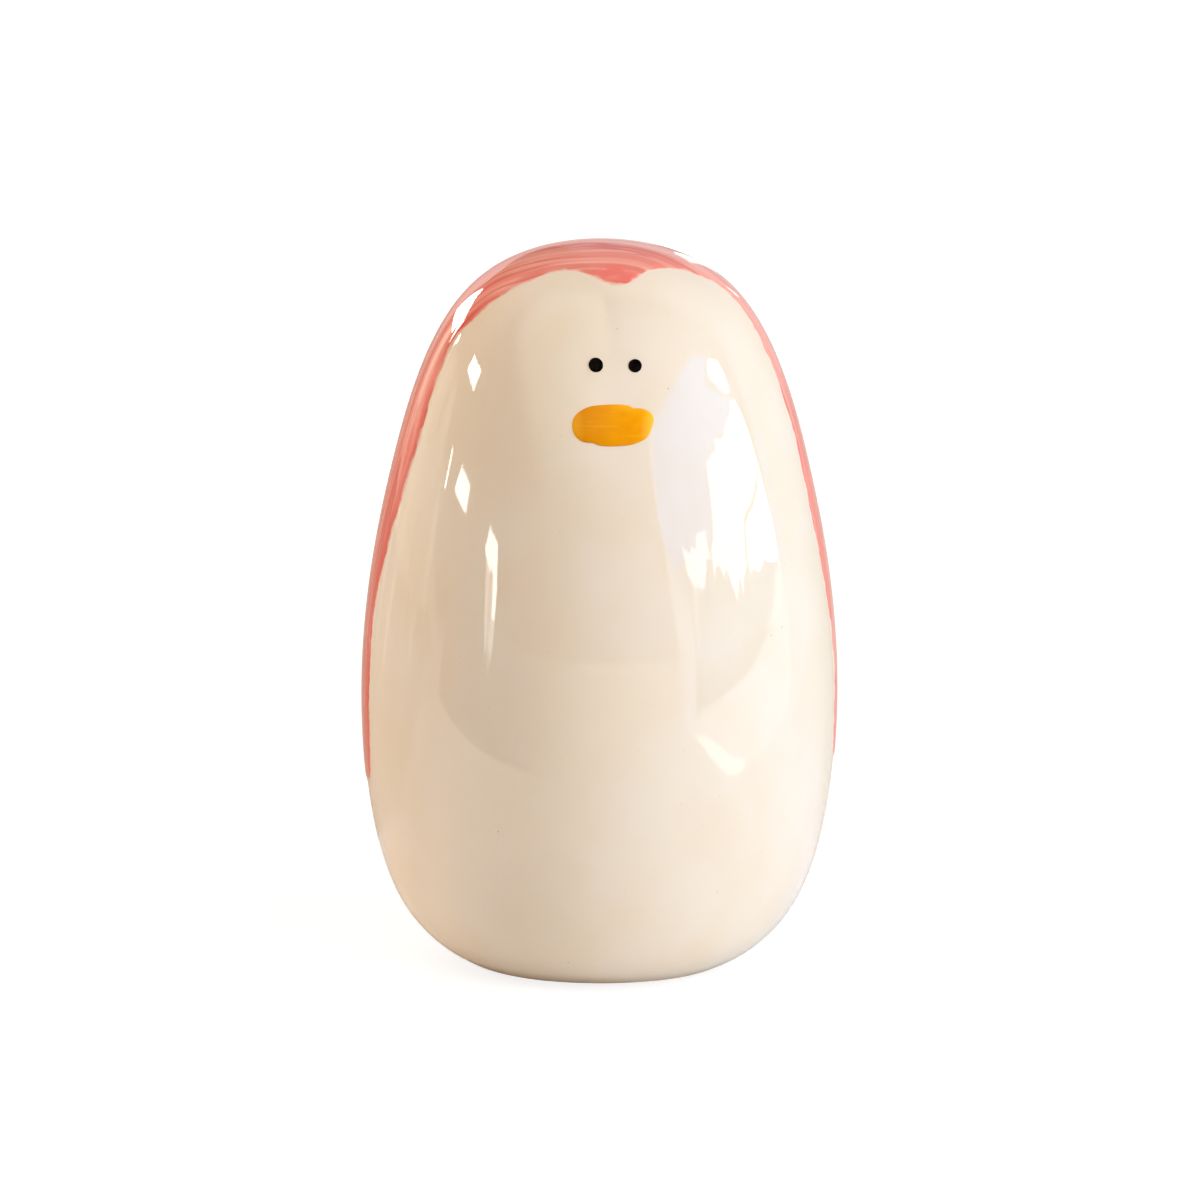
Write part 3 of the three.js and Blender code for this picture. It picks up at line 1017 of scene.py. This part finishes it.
def room_ball():
    w = Wiring("room_ball")
    azimuth = w.times(w.turn(), DEGREES)
    elevation = w.times(w.math("ARCSINE", w.math("DIVIDE", w.parts()[2], ROOM_SIZE)), DEGREES)
    aside = w.math("ABSOLUTE", azimuth)
    slant = w.plus(azimuth, w.times(elevation, 1.05))
    folds = w.noise(w.joined(w.times(azimuth, 0.22), w.times(elevation, 0.02)), detail=3)
    colour = w.mix(w.level(azimuth, -60, -45), ROOM_DARK, ROOM_BROWN)
    colour = w.mix(w.level(azimuth, -20, -6), colour, ROOM_DIM)
    colour = w.mix(w.level(elevation, 36, 46), colour, CEILING)
    colour = w.over(colour, CEILING_BEHIND, w.level(aside, 80, 130), w.level(elevation, 22, 55, 0.2, 1.0))
    wall_slant = w.plus(azimuth, w.times(elevation, 1.7))
    colour = w.over(colour, LIT_WALL, w.level(elevation, 13, 30), w.level(wall_slant, -20, 8),
                    w.level(azimuth, 14, -8))
    colour = w.over(colour, PALE_STRIP, w.level(slant, -91, -95), w.level(elevation, 20, 15),
                    w.level(azimuth, -158, -150), w.level(folds, 0.40, 0.62, 0.3, 1.0))
    side = w.mix(w.level(azimuth, 103, 110), BESIDE_THE_LIGHT, DAYLIT_SIDE)
    side = w.mix(w.level(azimuth, 122, 138), side, PALE_SIDE)
    colour = w.over(colour, side, w.level(azimuth, 97, 99), w.level(elevation, 45, 18),
                    w.level(azimuth, 165, 155))
    top = w.level(aside, 165, 180, 21, 13)
    low = w.level(elevation, -2, 7, 0.3, 1.0)
    shade = w.math("MAXIMUM", low, w.level(azimuth, -100, 100))
    under_top = w.level(w.minus(top, elevation), 0, 1)
    backdrop = w.mix(w.level(elevation, 4, 16), BACKDROP_LOW, BACKDROP_WHITE)
    colour = w.over(colour, backdrop, w.level(aside, 157, 161), under_top, shade)
    return w.show(w.light(colour))


bm = bmesh.new()
bmesh.ops.create_uvsphere(bm, u_segments=96, v_segments=48, radius=ROOM_SIZE)
hang("room", to_mesh(bm, "room"), room_ball(), Matrix.Translation(MIRROR_MIDDLE))

# %% [markdown]
# ## The tall light on the right
# It is built like a window: a dim surround, a frame, a blue pane, and brighter white ones with ragged
# edges like foliage. Each is a screen of its own, the brighter ones a little nearer to the figure, so
# they hide what is behind.

# %% Hang the tall light
TALL_AZIMUTH = 65
WHITE_PANE = rgb(5.0, 6.0, 7.5)
FRAME_GREY = rgb(1.6, 1.7, 2.4)
PANES = {
    "tall_dim": (1.60, rgb(0.40, 0.70, 1.3), [
        (26, 20), (27.5, 24), (30, 27), (46, 32), (68, 36.5), (80, 34), (88.5, 29), (90.5, 22), (93, 15),
        (95, 11), (97, 8), (99, 5.5), (99.5, -2), (43, -2), (42, 2), (41, 6), (36, 8), (32.5, 10.5),
        (29, 13.5), (27, 16.5)]),
    "tall_frame": (1.59, FRAME_GREY, [
        (25, 23), (25.5, 17), (29, 12.5), (31.5, 6.5), (34, 0.5), (34.5, -2), (42.5, -2), (41, 6),
        (36, 8), (32.5, 11), (28, 17), (27, 22), (30, 27), (29, 28)]),
    "tall_blue": (1.58, rgb(0.05, 1.1, 3.7), [
        (26.5, 19.5), (27.5, 23.5), (30, 26.5), (46, 31.5), (68, 36.5), (80, 33), (69, 27), (77, 24),
        (85.5, 20), (78.5, 18), (64.5, 17.5), (59, 17), (58, 13.5), (55.5, 10.5), (43, 11), (34, 9.5),
        (29, 13), (27, 16.5)]),
    "tall_white_top": (1.57, WHITE_PANE, [(80.5, 32), (88.5, 29)], [
        (88, 21.5), (84, 22.5), (80, 24), (75, 29)]),
    "tall_white": (1.57, WHITE_PANE, [(98.5, 3), (99, 5.5), (97, 8), (95, 11), (93, 15), (89.5, 19.5)], [
        (85.5, 20), (78.5, 18), (64.5, 17.5), (59, 17), (58, 13.5), (56.5, 11), (55, 9.5), (55, 6.5),
        (57.5, 8.5), (60, 6.5), (63, 6.8), (67.5, 3), (69.5, 5), (71, 4), (74, 5.5), (82.5, 4.5), (86, 5),
        (92, 3.8)]),
    "tall_white_patch": (1.57, WHITE_PANE, [], [
        (38.5, 11.5), (44, 10.8), (49, 11.8), (52, 12.4), (53.2, 9.5), (51, 9), (50, 7.2), (44, 7.4),
        (40, 9.2)]),
    "tall_drip": (1.57, rgb(1.6, 1.9, 2.4), [(42.5, 8), (45.5, 8), (44.8, 1.5), (43.4, 1.5)]),
    "tall_bar": (1.56, rgb(1.2, 1.3, 1.0), [
        (95, 10.4), (90, 9.9), (84, 9.7), (77, 9.6), (75, 6.5), (76.6, 4.5), (76.2, 2.5), (77, 2.5),
        (77.6, 4.5), (76, 6.5), (77.8, 9.1), (84, 9.2), (90, 9.4), (95, 9.8)]),
    "tall_side": (1.57, rgb(2.0, 2.3, 2.8), [(95, 2.6), (99, 3), (99.5, 0), (101, -2), (83, -2), (90, 0)]),
}
LEAF_STEP = 1.3
LEAF_REACH = 0.55
LEAF_SEED = 5


def ragged(corners, seed):
    """The same line in short pieces that stray a little, like the edge of foliage."""
    stray = np.random.default_rng(seed)
    places = []
    for start, end in zip(np.array(corners), np.array(corners[1:])):
        pieces = max(1, int(np.linalg.norm(end - start) / LEAF_STEP))
        for piece in range(pieces):
            places.append(start + (end - start) * piece / pieces + stray.uniform(-LEAF_REACH, LEAF_REACH, 2))
    return [tuple(place) for place in places] + corners[-1:]


for name, (distance, colour, corners, *leafy) in PANES.items():
    for side in leafy:
        corners = corners + ragged(side, LEAF_SEED)
    screen(name, TALL_AZIMUTH, distance, corners, colour)

# %% [markdown]
# ## On the floor
# The pale sheet under the figure ends a hand's breadth in front of it, and beyond it the floor is dark.
# On the right the tall light throws a bright pool on the sheet, with a brighter streak along its near
# edge and a thin line across. On the left the folds of the room and the long slit go on as streaks of
# light, and behind the sheet the backdrop's light lies on the floor.
# Only the glaze sees these glowing patches: they are painted reflections, and the pool is a painted pool of
# light.

# %% Lay the dark floor and the pool of light
DARK_LINE = rgb(0.10, 0.08, 0.08)
FLOOR_PATCHES = {
    "beyond_right": (0.3, rgb(0.10, 0.08, 0.32), [
        (107, -129), (118, -151), (161, -179), (205, -182), (379, -157), (1100, -146), (1600, 60),
        (2000, -2000), (1197, -1332), (212, -243)]),
    "behind_left": (0.3, rgb(0.55, 0.44, 0.36), [
        (-70, 20), (-3000, 200), (-2500, 2500), (-60, 3000), (-20, 60)]),
    "behind_right": (0.3, rgb(0.80, 0.62, 0.56), [(40, 70), (80, 400), (-60, 3000), (2200, 2600)]),
    "behind_right_line": (0.5, DARK_LINE, [
        (62, 400), (108, 900), (320, 3000), (470, 3000), (165, 900), (84, 400)]),
    "frame_on_the_floor": (0.5, FRAME_GREY, [
        (90, -129), (107, -129), (212, -243), (1197, -1332), (1010, -1480), (189, -277)]),
    "pool_of_light": (0.7, rgb(1.7, 1.9, 2.4), [
        (103, -129), (86, -63), (100, -51), (137, -27), (194, 5), (242, 34), (494, 86), (1565, 333),
        (1600, 60), (1100, -146), (379, -157), (205, -182), (161, -179)]),
    "line_in_the_pool": (0.9, rgb(1.1, 1.1, 1.3), [
        (428, -112), (246, -73.5), (121, -42.5), (121, -40), (246, -69), (428, -106)]),
    "tail_on_the_floor": (0.7, rgb(2.4, 2.1, 1.8), [
        (-488, -294), (-2535, -1605), (-2610, -1476), (-494, -285)]),
    "streak_in_the_pool": (0.9, rgb(4.0, 4.2, 4.2), [
        (103, -129), (117, -122), (112, -92), (104, -68), (109, -54), (98, -51), (92, -53), (84, -65)]),
}
FOLD_LIGHT = rgb(1.05, 0.95, 0.82)
# Azimuth and half width of a fold in degrees, then its nearest and farthest place in millimetres.
FOLDS = {"wide": (-108, 1.5, 330, 2000), "thin": (-117, 0.5, 500, 2200), "long": (-130, 1.1, 240, 2400),
         "last": (-141, 0.7, 300, 2500)}
for name, (azimuth, half, near, far) in FOLDS.items():
    first, last = math.radians(azimuth - half), math.radians(azimuth + half)
    corners = [(math.sin(way) * reach, -math.cos(way) * reach)
               for way, reach in ((first, near), (first, far), (last, far), (last, near))]
    FLOOR_PATCHES[f"fold_{name}"] = (0.5, FOLD_LIGHT, corners)
BEYOND_DARK = rgb(0.28, 0.09, 0.08)
SHEET_END = [(-273, -24), (-60, -93), (30, -122), (30, -2900), (-2000, -2000), (-2800, -240)]


def lay(name, height, corners, material):
    """Lays a flat patch on the floor. Its corners and its height are in millimetres."""
    patch = outline_mesh(name, [(x * MM, y * MM) for x, y in corners])
    hang(name, patch, material, Matrix.Translation((0, 0, height * MM)))


def fading_floor():
    """Dark on the left, and clear from straight ahead on, so the sheet's edge is lost there."""
    w = Wiring("beyond_the_sheet")
    clear = w.add("ShaderNodeBsdfTransparent").outputs[0]
    return w.show(w.either(w.level(w.turn(), -0.95, -0.15), w.light(BEYOND_DARK), clear))


for name, (height, colour, corners) in FLOOR_PATCHES.items():
    lay(name, height, corners, glow(name, colour))
lay("beyond_the_sheet", 0.3, SHEET_END, fading_floor())

# %% [markdown]
# ## Slits of light
# On the left a few narrow openings let hard light through. They give the small diamonds and the long drop
# with its tail on that flank. Two paler marks and a dark line lie on the backdrop behind on the right. What
# is named a line hangs a little nearer than the rest, and a tail a little farther away.

# %% Hang the slits
SLIT_DISTANCE = 2.6
SLIT_GAP = 0.1
SLIT_LIGHT = rgb(14, 13.6, 12.9)
SLITS = {
    "slit_crown": (-150, SLIT_LIGHT, [(-155.1, 23.3), (-159.5, 10.0), (-143.5, 14.7), (-140.2, 21.1)]),
    "slit_temple": (-136, SLIT_LIGHT, [(-139.0, 21.4), (-141.6, 17.2), (-134.3, 16.0), (-131.0, 19.4)]),
    "slit_high": (-102, SLIT_LIGHT, [(-108.5, 25.8), (-95.9, 25.9), (-95.7, 21.2), (-108.5, 21.8)]),
    "slit_thin": (-100, SLIT_LIGHT, [(-100.5, 12.4), (-99.3, 12.2), (-98.6, 9.7), (-99.9, 9.6)]),
    "slit_middle": (-86, SLIT_LIGHT, [(-90.4, 12.8), (-81.6, 12.8), (-81.3, 10.7), (-92.0, 10.9)]),
    "slit_low": (-61, SLIT_LIGHT, [
        (-65.2, 11.8), (-59.2, 10.9), (-57.3, 6.4), (-57.4, 2.6), (-59.2, 3.0), (-59.9, 8.0),
        (-61.6, 7.9), (-65.6, 9.3), (-66.5, 9.8)]),
    "slit_low_tail": (-61, rgb(4.5, 4.2, 3.7), [
        (-64.5, 9.0), (-58.3, 9.0), (-57.0, 4.0), (-57.2, 0.7), (-58.6, -4.6), (-60.8, -4.2), (-62.8, 2.2)]),
    "slit_low_line": (-61, rgb(1.4, 1.1, 0.9), [(-61.6, 8.5), (-61.0, 8.5), (-60.1, -1.5), (-60.7, -1.5)]),
    "slit_right_rim": (167, rgb(2.2, 2.2, 2.2), [
        (162.7, 18), (168, 13), (170, 8), (171.5, -1), (170, -1), (166, 9)]),
    "slit_right_arc": (157, rgb(3.0, 3.0, 3.0), [
        (155, 13.5), (156.2, 13.5), (158.8, 7), (158.2, 7), (155.6, 10)]),
    "slit_right_line": (173, DARK_LINE, [(171.9, 3), (173.3, 2), (173.6, -3), (171.5, -3)]),
}
for name, (azimuth, colour, corners) in SLITS.items():
    distance = SLIT_DISTANCE + SLIT_GAP * (name.endswith("tail") - name.endswith("line"))
    screen(name, azimuth, distance, corners, colour)

# %% [markdown]
# ## Camera
# The camera looks from a little above and from the figure's left front, through a long lens.

# %% Place the camera
CAMERA_AZIMUTH = -4.5
CAMERA_ELEVATION = 10
CAMERA_DISTANCE = 0.650
CAMERA_ROLL = 0.35
CAMERA_LENS = 177.75
SENSOR_WIDTH = 36
FARTHEST_SEEN = 20
AIM = Vector((0, 0, 0.0402))

back = way_to(CAMERA_AZIMUTH, CAMERA_ELEVATION)
camera_data = bpy.data.cameras.new("camera")
camera_data.lens = CAMERA_LENS
camera_data.sensor_width = SENSOR_WIDTH
camera_data.clip_end = FARTHEST_SEEN
facing = back.to_track_quat("Z", "Y").to_matrix().to_4x4()
rolled = facing @ Matrix.Rotation(math.radians(CAMERA_ROLL), 4, "Z")
place = Matrix.Translation(AIM + back * CAMERA_DISTANCE) @ rolled
bpy.context.scene.camera = put("camera", camera_data, place)
bpy.context.scene.view_settings.view_transform = "Standard"
